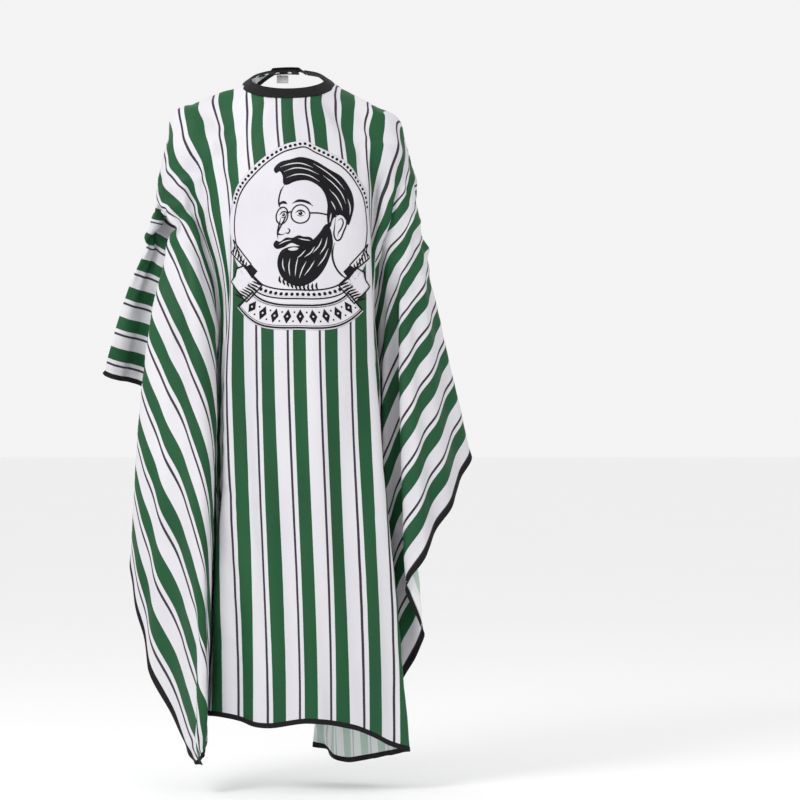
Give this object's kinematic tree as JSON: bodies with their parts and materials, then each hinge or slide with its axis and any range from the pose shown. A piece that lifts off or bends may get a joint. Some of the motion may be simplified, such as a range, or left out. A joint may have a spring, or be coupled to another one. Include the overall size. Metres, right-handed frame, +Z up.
{
  "type": "barber cape",
  "caption": "Striped barber cape hanging as worn: one wide sheet with taped edges, gathered into a black neck band that closes at the nape with press studs.",
  "frame": {"origin": "centre of the neck opening, halfway down the neck band", "axes": "+Z up, -Y is the front of the cape, +X is the wearer's left"},
  "size_m": [0.7469, 0.3852, 1.4003],
  "materials": {
    "cloth": "satin",
    "tape": "matte",
    "interlining": "matte",
    "snap_metal": "satin",
    "snap_cap": "gloss",
    "label": "satin"
  },
  "bodies": {
    "cape": {"cape_cloth": "cloth", "edge_binding": "tape", "neck_band": "tape", "band_interlining": "interlining", "care_label": "label", "stud_1": "snap_metal", "stud_2": "snap_metal", "stud_3": "snap_metal", "stud_4": "snap_metal", "stud_eyelet_1": "snap_metal", "stud_eyelet_2": "snap_metal", "stud_eyelet_3": "snap_metal", "stud_eyelet_4": "snap_metal"},
    "tab": {"closure_tab": "tape", "snap_socket_1": "snap_metal", "snap_socket_2": "snap_metal", "snap_cap_1": "snap_cap", "snap_cap_2": "snap_cap"}
  },
  "joints": [
    {"name": "tab_hinge", "type": "hinge", "parent": "cape", "child": "tab", "pos_m": [0.03228, 0.07181, 0.02614], "axis": [0.3124, 0.8989, -0.3073], "range_deg": [0, 80]}
  ]
}
